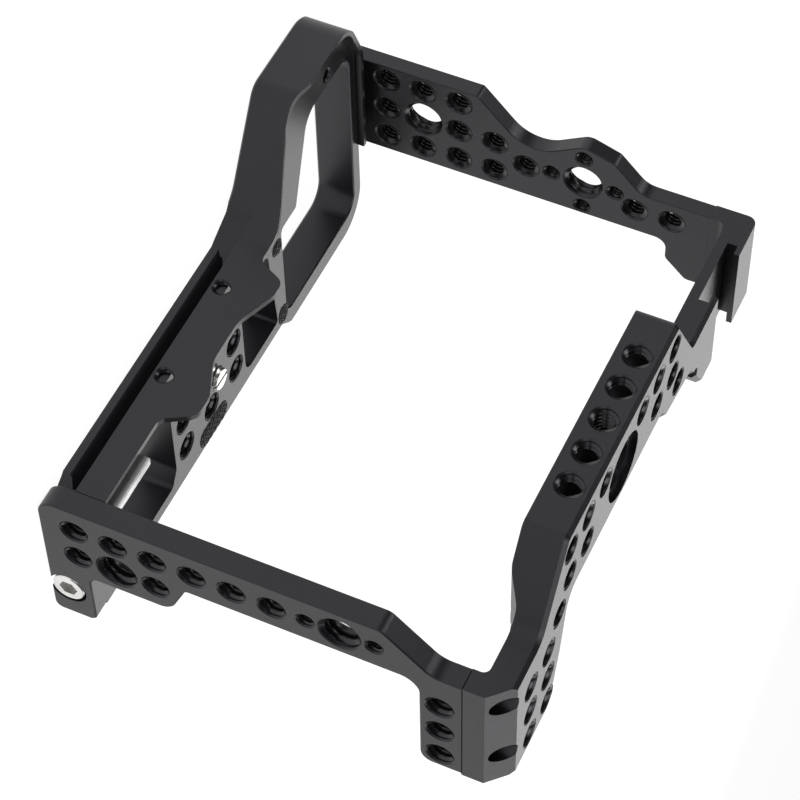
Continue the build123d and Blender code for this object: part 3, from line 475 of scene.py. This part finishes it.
def threads_piece(name, axis, holes, finish, phase=0.0):
    """holes: (thread, first coordinate, second coordinate, low, high) in the axis' plane."""
    work = bmesh.new()
    for thread, a, b, low, high in holes:
        centre = {"X": Vector((0, a, b)), "Y": Vector((a, 0, b)), "Z": Vector((a, b, 0))}[axis]
        thread_ridge(work, axis, centre, low, high, thread, phase)
        for face, inward in ((low, 1), (high, -1)):
            if face in OPEN_FACES:
                mouth_ring(work, axis, centre, thread[0], face, inward)
    cage_piece(name, work, finish, angle=40.0)


def left_plate_holes():
    y, z = LEFT_COLUMN
    eye_z = z + LEFT_EYE_RISE
    holes = [(QUARTER, y, z + i * PITCH) for i in range(LEFT_COLUMN_COUNT)]
    holes += [(QUARTER, y + PITCH, z), (QUARTER, y + PITCH, z + 2 * PITCH)]
    holes += [(THREE_EIGHTHS_DEEP, y + PITCH, z + PITCH), (THREE_EIGHTHS_DEEP, y, eye_z)]
    holes += [(QUARTER, POST_ROW_Y + i * PITCH, POST_ROW_Z) for i in range(3)]
    holes += [(M4, y, eye_z + side * LEFT_PIN_REACH) for side in (-1, 1)]
    return [(*hole, *LEFT_FACES) for hole in holes]


def right_plate_holes():
    y, z = RIGHT_BLOCK
    head_y, head_z = RIGHT_HEAD_HOLE
    eye_y, eye_z = RIGHT_EYE
    spots = [(y + j * PITCH, z + i * 2 * PITCH) for i in range(2) for j in (-1, 0, 1)]
    spots += [(y - PITCH, z + PITCH), (y + PITCH, z + PITCH), (y, z + 3 * PITCH),
              (y + PITCH, z + 3 * PITCH), RIGHT_WAIST_HOLE, RIGHT_HEAD_HOLE,
              (head_y, head_z + PITCH)]
    holes = [(QUARTER_CLOSE, *spot) for spot in spots]
    holes += [(THREE_EIGHTHS, y, z + PITCH), (THREE_EIGHTHS, *RIGHT_EYE)]
    holes += [(M4, eye_y + dy * RIGHT_PIN_REACH, eye_z + dz * RIGHT_PIN_REACH)
              for dy, dz in ((-1, 0), (1, 0), (0, -1), (0, 1))]
    return [(*hole, *RIGHT_FACES) for hole in holes]


def top_plate_holes():
    """The bar's holes that the front row runs into keep their thread above and below it."""
    low, high = TOP_FACES
    crossed = ((low, FRONT_ROW_Z - CROSSING), (FRONT_ROW_Z + CROSSING, high))
    holes = [(QUARTER, x, POST_ROW_Y + j * PITCH, TOP_THIN_Z, high)
             for x in (FIELD_X, FIELD_X - PITCH) for j in range(3)]
    holes += [(QUARTER, x, BAR_ROW_Y, low, high) for x in (BAR_LEFT_X, BAR_RIGHT_X)]
    for i in (1, 2):
        for x in (BAR_LEFT_X - i * PITCH, BAR_RIGHT_X + i * PITCH):
            holes += [(QUARTER, x, BAR_ROW_Y, *faces) for faces in crossed]
    holes += [(QUARTER, x, BAR_ROW_Y + PITCH, low, high)
              for x in (BAR_LEFT_X, BAR_LEFT_X - PITCH, BAR_RIGHT_X, BAR_RIGHT_X + PITCH)]
    return holes + [(QUARTER, *BAR_LEFT_REAR, TOP_SLOPE_Z, high),
                    (QUARTER, *BAR_RIGHT_REAR, low, high)]


def front_row_holes():
    """The middle hole is whole, the others end where they run into the bar's holes."""
    holes = []
    for i in range(FRONT_ROW_COUNT):
        depth = FRONT_ROW_DEPTH if i == FRONT_ROW_COUNT // 2 else FRONT_ROW_SHORT
        holes.append((QUARTER, FRONT_ROW_X + i * PITCH, FRONT_ROW_Z,
                      BAR_FRONT_Y, BAR_FRONT_Y + depth))
    return holes


def deck_holes():
    spots = [(side * DECK_HOLE_X, 0.0) for side in (-1, 1)]
    spots += [(side * DECK_HOLE_X, PITCH) for side in (-1, 0, 1)]
    return [(QUARTER, *spot, *DECK_FACES) for spot in spots]


def lip_holes():
    return [(M4, x, LIP_HOLES_Z, *LIP_FACES) for x in LIP_HOLES_X]


# ---------------------------------------------------------------- seam and rail

def seam_path(out):
    """Way round the post's front, outer face and rear, moved out of them."""
    front, rear = POST_FACES
    x = LEFT_FACES[1]
    return [(SEAM_START_X, front - out), (x - POST_CORNER, front - out),
            (x + out, front + POST_CORNER), (x + out, rear - POST_CORNER),
            (x - POST_CORNER, rear + out), (SEAM_START_X, rear + out)]


def seam_line(finish):
    """Shadow line where the left side plate meets the top plate, round the post."""
    outline = seam_path(SEAM_PROUD) + seam_path(SEAM_PROUD - SEAM_SKIN)[::-1]
    work = bmesh.new()
    loft(work, [[(x, y, TOP_FACES[0] + side * SEAM_HALF_H) for x, y in outline]
                for side in (-1, 1)])
    cage_piece("post_seam_line", work, finish)


def rail_run_out(finish):
    """Stretch of the dovetail's front flange that runs into the loop's root."""
    upper = []
    for x, y in RAIL_OUTLINE:
        share = min(1.0, max(0.0, (y - RAIL_FRONT_Y) / (RAIL_NECK_Y - RAIL_FRONT_Y)))
        upper.append((x, y, RAIL_FLANGE_H + (RAIL_KNEE_H - RAIL_FLANGE_H) * share))
    work = bmesh.new()
    loft(work, [[(x, y, 0.0) for x, y in RAIL_OUTLINE], upper])
    cage_piece("rail_run_out", work, finish)


# ---------------------------------------------------------------- camera screw

def screw_wall(z, angle):
    """Radius of the screw at a height and an angle."""
    low, high = SCREW_THREAD_FACES
    turn = angle / (2 * math.pi)
    if z <= SCREW_HEAD_H:
        bevel = max(0.0, SCREW_HEAD_BEVEL - min(z, SCREW_HEAD_H - z))
        knurl = abs((turn * KNURLS) % 1.0 - 0.5) * 2 * KNURL_DEPTH
        return SCREW_HEAD_R - max(bevel, knurl)
    if z < low:
        return SCREW_NECK_R
    phase = ((z - low) / SCREW_PITCH - turn) % 1.0
    groove = 1.0 - min(1.0, SCREW_THREAD_FLANK * abs(phase - 0.5))
    bevel = max(0.0, SCREW_TIP_BEVEL - (high - z), SCREW_ROOT_BEVEL - (z - low))
    return SCREW_R - max(SCREW_THREAD_DEPTH * min(groove, SCREW_ROOT_FLAT), bevel)


def screw_section(z):
    """Outline of the screw at a height, with two places to each knurl."""
    section = []
    for k in range(2 * KNURLS):
        angle = 2 * math.pi * k / (2 * KNURLS)
        r = screw_wall(z, angle)
        section.append((r * math.cos(angle), SCREW_Y + r * math.sin(angle), z))
    return section


def prism_tool(name, outline, low, high):
    """Upright prism round the screw's axis, used as a cutter."""
    work = bmesh.new()
    loft(work, [[(x, SCREW_Y + y, z) for x, y in outline] for z in (low, high)])
    return piece_from(name, work)


def slab(half_x, half_y):
    return [(-half_x, -half_y), (half_x, -half_y), (half_x, half_y), (-half_x, half_y)]


def hexagon(across):
    corners = [math.radians(60 * k) for k in range(6)]
    return [(across / math.sqrt(3) * math.cos(a), across / math.sqrt(3) * math.sin(a))
            for a in corners]


def cut(piece, tools):
    """Subtract simple closed tools from a piece and keep the result as its mesh."""
    for tool in tools:
        change = piece.modifiers.new("cut", "BOOLEAN")
        change.operation = "DIFFERENCE"
        change.solver = "EXACT"
        change.object = tool
    bpy.context.view_layer.update()
    graph = bpy.context.evaluated_depsgraph_get()
    mesh = bpy.data.meshes.new_from_object(piece.evaluated_get(graph))
    piece.modifiers.clear()
    piece.data = mesh
    for tool in tools:
        bpy.data.objects.remove(tool)


def camera_screw(finish):
    """Knurled coin-slot screw with a hexagon socket, a real thread and a slotted tip."""
    low, high = SCREW_THREAD_FACES
    levels = [0.0, SCREW_HEAD_BEVEL, SCREW_HEAD_H - SCREW_HEAD_BEVEL, SCREW_HEAD_H,
              SCREW_HEAD_H + NECK_STEP, low - NECK_STEP]
    levels += [low + (high - low) * i / SCREW_THREAD_STEPS
               for i in range(SCREW_THREAD_STEPS + 1)]
    work = bmesh.new()
    loft(work, [screw_section(z) for z in levels])
    piece = piece_from("camera_screw_detail", work)
    cut(piece, [prism_tool("coin_slot", slab(SCREW_HEAD_R + OVERCUT, COIN_SLOT[0] / 2),
                           -OVERCUT, COIN_SLOT[1]),
                prism_tool("socket", hexagon(HEX_ACROSS), -OVERCUT, HEX_DEPTH),
                prism_tool("tip_slot", slab(SCREW_R + OVERCUT, SCREW_SLOT[0] / 2),
                           high - SCREW_SLOT[1], high + OVERCUT)])
    finish_mesh(piece.data, finish, 28.0)
    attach(piece, "screw")
    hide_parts("camera_screw")


# ---------------------------------------------------------------- rubber pads

def capsule(half_l, half_w, inset):
    """Rounded rectangle, pulled in by inset."""
    radius = min(half_l, half_w) * PAD_ROUND
    points = []
    for turn, (sx, sy) in enumerate(((1, 1), (-1, 1), (-1, -1), (1, -1))):
        for k in range(PAD_CORNER_STEPS + 1):
            angle = math.radians(90 * turn + 90 * k / PAD_CORNER_STEPS)
            points.append((sx * (half_l - radius) + (radius - inset) * math.cos(angle),
                           sy * (half_w - radius) + (radius - inset) * math.sin(angle)))
    return points


def rib_lines(half_l, half_w):
    """Both ends of each diagonal line of the lattice, where it is inside the pad's rim."""
    radius = min(half_l, half_w) * PAD_ROUND - PAD_RIB_EDGE

    def inside(spot):
        dx = max(0.0, abs(spot[0]) - (half_l - radius - PAD_RIB_EDGE))
        dy = max(0.0, abs(spot[1]) - (half_w - radius - PAD_RIB_EDGE))
        return math.hypot(dx, dy) <= radius

    count = int((half_l + half_w) / PAD_RIB_SPACING)
    across = [half_w * (k / PAD_RIB_SAMPLES - 1.0) for k in range(2 * PAD_RIB_SAMPLES + 1)]
    for lean in (1, -1):
        for i in range(-count, count + 1):
            line = [(i * PAD_RIB_SPACING + lean * t, t) for t in across]
            line = [spot for spot in line if inside(spot)]
            if len(line) >= PAD_RIB_LEAST:
                yield Vector(line[0]), Vector(line[-1])


def pad_ribs(work, x, y, half_l, half_w, top):
    """Raised diamond lattice across the pad's face."""
    for start, end in rib_lines(half_l, half_w):
        run = (end - start).normalized()
        side = Vector((-run.y, run.x)) * PAD_RIB_W / 2
        loft(work, [[(x + spot.x + side.x * offset, y + spot.y + side.y * offset, top + rise)
                     for offset, rise in ((1.0, -PAD_RIB_SINK), (PAD_RIB_CROWN, PAD_RIB_H),
                                          (-PAD_RIB_CROWN, PAD_RIB_H), (-1.0, -PAD_RIB_SINK))]
                    for spot in (start, end)])


def deck_pad(node, x, y, half_l, half_w, finish):
    """Rubber pad with a rounded rim and a raised lattice, pressed into its pocket."""
    low, high = PAD_FACES
    face = high - PAD_RIB_H
    profile = [(0.0, low)] + [(inset, face - depth) for inset, depth in PAD_RIM]
    work = bmesh.new()
    loft(work, [[(x + px, y + py, z) for px, py in capsule(half_l, half_w, inset)]
                for inset, z in profile])
    pad_ribs(work, x, y, half_l, half_w, face)
    piece = piece_from(node + "_lattice", work)
    finish_mesh(piece.data, finish, 35.0)
    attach(piece, "cage")
    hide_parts(node)


# ---------------------------------------------------------------- stage

def camera():
    back = Vector(CAMERA_BACK).normalized()
    up = back.cross(Vector(CAMERA_RIGHT)).normalized()
    right = up.cross(back)
    data = bpy.data.cameras.new("camera")
    data.lens = CAMERA_LENS
    data.sensor_width = CAMERA_SENSOR
    data.clip_start = CAMERA_NEAR
    piece = link("camera", data)
    turn = Matrix((right, up, back)).transposed().to_4x4()
    piece.matrix_world = Matrix.Translation(Vector(CAMERA_PLACE) * MM) @ turn
    bpy.context.scene.camera = piece


def softbox(name, direction, distance, sides, radiance):
    """Rectangular area light that faces the object from a direction."""
    data = bpy.data.lights.new(name, "AREA")
    data.shape = "RECTANGLE"
    data.size, data.size_y = sides
    data.energy = radiance * math.pi * sides[0] * sides[1]
    piece = link(name, data)
    direction = Vector(direction).normalized()
    place = Vector(LIGHT_AIM) * MM + direction * distance
    piece.matrix_world = (Matrix.Translation(place)
                          @ direction.to_track_quat("Z", "Y").to_matrix().to_4x4())
    piece.visible_camera = False


def sky():
    """White surroundings that dim towards the top."""
    world = bpy.data.worlds.new("studio")
    bpy.context.scene.world = world
    world.use_nodes = True
    tree = world.node_tree
    height = tree.nodes.new("ShaderNodeSeparateXYZ")
    tree.links.new(tree.nodes.new("ShaderNodeTexCoord").outputs["Generated"],
                   height.inputs["Vector"])
    dim = tree.nodes.new("ShaderNodeMapRange")
    tree.links.new(height.outputs["Z"], dim.inputs["Value"])
    dim.inputs["From Min"].default_value, dim.inputs["From Max"].default_value = WORLD_HEIGHTS
    dim.inputs["To Min"].default_value, dim.inputs["To Max"].default_value = WORLD_STRENGTHS
    tree.links.new(dim.outputs["Result"], tree.nodes["Background"].inputs["Strength"])


def paper(low_z):
    """Floor that the object stands on."""
    work = bmesh.new()
    bmesh.ops.create_grid(work, x_segments=6, y_segments=6, size=FLOOR_SIZE / 2)
    mesh = bpy.data.meshes.new("floor")
    work.to_mesh(mesh)
    work.free()
    floor = link("floor", mesh)
    floor.location.z = low_z
    mesh.materials.append(floor_paper())


# ---------------------------------------------------------------- the object

FINISHED_NODES = {
    "black_anodised": ("base_plate", "left_side_plate", "right_side_plate", "top_plate"),
    "bright_steel": ("camera_screw", "left_foot_screw"),
    "black_steel": ("right_foot_screws", "top_left_screws", "top_right_screws"),
    "dowel_steel": ("left_foot_dowels", "right_foot_dowels", "top_left_dowels"),
    "nylon": ("camera_screw_washer",),
    "rubber": ("deck_pad_rear", "deck_pad_corner", "deck_pad_front"),
    "ground_steel": ("stowed_key",),
    "magnet": ("key_magnets",)}


def dress(materials):
    """Give each CAD node its material."""
    for finish, names in FINISHED_NODES.items():
        for name in names:
            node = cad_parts[name]
            node.data.materials.clear()
            node.data.materials.append(materials[finish])


camera()
materials = finishes()
dress(materials)
metal = materials["cut_anodised"]
threads_piece("left_plate_threads", "X", left_plate_holes(), metal)
threads_piece("right_plate_threads", "X", right_plate_holes(), metal, CLOSE_PHASE)
threads_piece("top_plate_threads", "Z", top_plate_holes(), metal)
threads_piece("front_row_threads", "Y", front_row_holes(), metal)
threads_piece("deck_threads", "Z", deck_holes(), metal)
threads_piece("lip_threads", "Y", lip_holes(), metal)
seam_line(materials["seam_shadow"])
rail_run_out(materials["black_anodised"])
camera_screw(materials["bright_steel"])
for pad in PADS:
    deck_pad(*pad, materials["rubber"])
sky()
for box in SOFTBOXES:
    softbox(*box)
paper(cad_bounds[0][2])
bpy.context.scene.view_settings.view_transform = "Standard"
